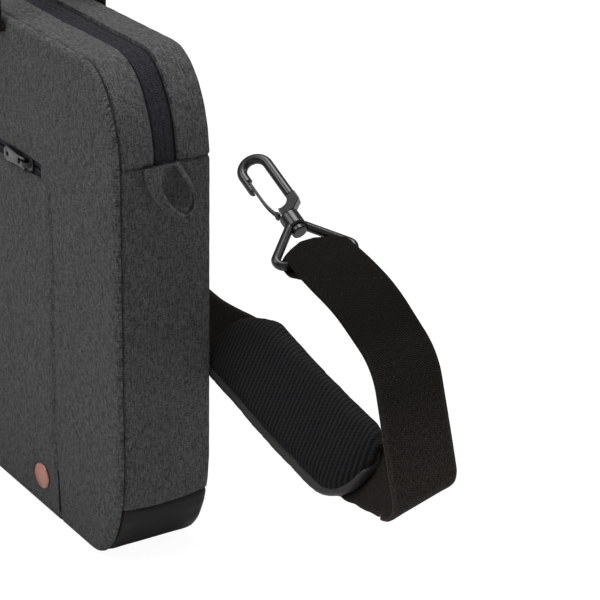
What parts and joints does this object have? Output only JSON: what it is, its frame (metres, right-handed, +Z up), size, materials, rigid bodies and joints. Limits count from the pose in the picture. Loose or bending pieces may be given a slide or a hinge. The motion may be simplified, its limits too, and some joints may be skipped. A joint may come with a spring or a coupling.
{
  "type": "camera bag",
  "caption": "Slim soft camera bag with a zip mouth, front pocket, side loops, carry handles and a webbing shoulder strap with pad and swivel hooks.",
  "frame": {"origin": "centre of the base, on the surface the bag stands on", "axes": "+X to the right of the front face, +Y from the front face to the back, +Z up"},
  "size_m": [0.6727, 0.1159, 0.395],
  "materials": {
    "grey_fabric": "dark grey two-tone woven polyester",
    "coated_base": "black smooth coated fabric",
    "zip_tape": "black reverse-coil zip tape",
    "slider_metal": "black lacquered zinc",
    "lining": "mid grey lining",
    "board": "black stiffener sheet",
    "copper": "satin copper",
    "black_webbing": "ribbed black webbing",
    "pad_mesh": "black ribbed spacer mesh",
    "pad_edge": "black binding",
    "black_plastic": "satin black acetal"
  },
  "bodies": {
    "bag": {"back_panel": "grey_fabric", "front_panel": "grey_fabric", "pocket_panel": "grey_fabric", "pocket_lining": "lining", "pocket_zip_tape": "zip_tape", "badge": "copper", "badge_washer": "copper", "seam_tab": "grey_fabric", "side_gusset_right": "grey_fabric", "side_gusset_left": "grey_fabric", "bottom_panel": "coated_base", "zip_gusset_back": "grey_fabric", "zip_tape_back": "zip_tape", "seam_binding_back": "lining", "seam_binding_front": "lining", "base_board": "board", "padded_sleeve": "lining", "divider_right": "lining", "divider_left": "lining", "strap_webbing_right": "black_webbing", "strap_webbing_left": "black_webbing", "shoulder_pad": "pad_mesh", "pad_binding": "pad_edge"},
    "mouth": {"upper_front_panel": "grey_fabric", "zip_gusset_front": "grey_fabric", "zip_tape_front": "zip_tape"},
    "slider_right": {"zip_slider_right": "slider_metal"},
    "slider_left": {"zip_slider_left": "slider_metal"},
    "pull_right": {"zip_pull_right": "slider_metal"},
    "pull_left": {"zip_pull_left": "slider_metal"},
    "pocket_slider": {"pocket_slider": "slider_metal"},
    "pocket_pull": {"pocket_pull": "slider_metal"},
    "handle_front": {"carry_handle_front": "black_webbing", "handle_grip_front": "pad_mesh"},
    "handle_back": {"carry_handle_back": "black_webbing", "handle_grip_back": "pad_mesh"},
    "loop_right": {"side_loop_right": "grey_fabric"},
    "loop_left": {"side_loop_left": "grey_fabric"},
    "right_hook_frame": {"hook_loop_right": "black_plastic"},
    "right_hook": {"hook_body_right": "black_plastic"},
    "right_gate": {"hook_gate_right": "black_plastic"},
    "left_hook_frame": {"hook_loop_left": "black_plastic"},
    "left_hook": {"hook_body_left": "black_plastic"},
    "left_gate": {"hook_gate_left": "black_plastic"},
    "adjuster": {"strap_adjuster": "black_plastic"}
  },
  "joints": [
    {"name": "mouth_opening", "type": "hinge", "parent": "bag", "child": "mouth", "pos_m": [0, -0.03, 0.24515], "axis": [1, 0, 0], "range_deg": [0, 40]},
    {"name": "zip_slider_right_travel", "type": "slide", "parent": "mouth", "child": "slider_right", "axis": [1, 0, 0], "range_m": [0, 0.12]},
    {"name": "zip_pull_right_flip", "type": "hinge", "parent": "slider_right", "child": "pull_right", "pos_m": [0.008, 0.002, 0.3022], "axis": [0, -1, 0], "range_deg": [0, 165]},
    {"name": "zip_slider_left_travel", "type": "slide", "parent": "mouth", "child": "slider_left", "axis": [-1, 0, 0], "range_m": [0, 0.12]},
    {"name": "zip_pull_left_flip", "type": "hinge", "parent": "slider_left", "child": "pull_left", "pos_m": [-0.008, 0.002, 0.3022], "axis": [0, 1, 0], "range_deg": [0, 165]},
    {"name": "pocket_slider_travel", "type": "slide", "parent": "bag", "child": "pocket_slider", "axis": [-1, 0, 0], "range_m": [0, 0.2]},
    {"name": "pocket_pull_flip", "type": "hinge", "parent": "pocket_slider", "child": "pocket_pull", "pos_m": [0.1, -0.0322, 0.22], "axis": [0, 0, 1], "range_deg": [0, 165]},
    {"name": "front_handle_fold", "type": "hinge", "parent": "mouth", "child": "handle_front", "pos_m": [0, -0.0336, 0.292], "axis": [1, 0, 0], "range_deg": [0, 132]},
    {"name": "back_handle_fold", "type": "hinge", "parent": "bag", "child": "handle_back", "pos_m": [0, 0.0336, 0.292], "axis": [-1, 0, 0], "range_deg": [0, 172]},
    {"name": "side_loop_right_lift", "type": "hinge", "parent": "bag", "child": "loop_right", "pos_m": [0.2003, 0, 0.2447], "axis": [0, -1, 0], "range_deg": [0, 85]},
    {"name": "side_loop_left_lift", "type": "hinge", "parent": "bag", "child": "loop_left", "pos_m": [-0.2003, 0, 0.2447], "axis": [0, 1, 0], "range_deg": [-0.5, 0.5]},
    {"name": "right_hook_swing", "type": "hinge", "parent": "bag", "child": "right_hook_frame", "pos_m": [0.3507, 0, 0.2436], "axis": [0, 1, 0], "range_deg": [-100, 90]},
    {"name": "right_hook_swivel", "type": "hinge", "parent": "right_hook_frame", "child": "right_hook", "pos_m": [0.33028, 0, 0.25329], "axis": [-0.9033, 0, 0.4289], "continuous": true},
    {"name": "right_gate_spring", "type": "hinge", "parent": "right_hook", "child": "right_gate", "pos_m": [0.31951, -0.00383, 0.25591], "axis": [-0.3696, 0.5075, -0.7783], "range_deg": [0, 14], "stiffness_Nm_per_rad": 0.05},
    {"name": "left_hook_swing", "type": "hinge", "parent": "bag", "child": "left_hook_frame", "pos_m": [-0.22472, 0.06455, 0.18755], "axis": [0.1337, 0.5377, 0.8325], "range_deg": [-0.4, 0.4]},
    {"name": "left_hook_swivel", "type": "hinge", "parent": "left_hook_frame", "child": "left_hook", "pos_m": [-0.22051, 0.04559, 0.19911], "axis": [0.1863, -0.8387, 0.5118], "range_deg": [-6, 6]},
    {"name": "left_gate_spring", "type": "hinge", "parent": "left_hook", "child": "left_gate", "pos_m": [-0.22267, 0.03649, 0.20619], "axis": [0.2868, 0.5446, 0.7881], "range_deg": [0, 14], "stiffness_Nm_per_rad": 0.05},
    {"name": "adjuster_travel", "type": "slide", "parent": "bag", "child": "adjuster", "axis": [0.9902, -0.0376, -0.1347], "range_m": [-0.11, 0.06]}
  ]
}
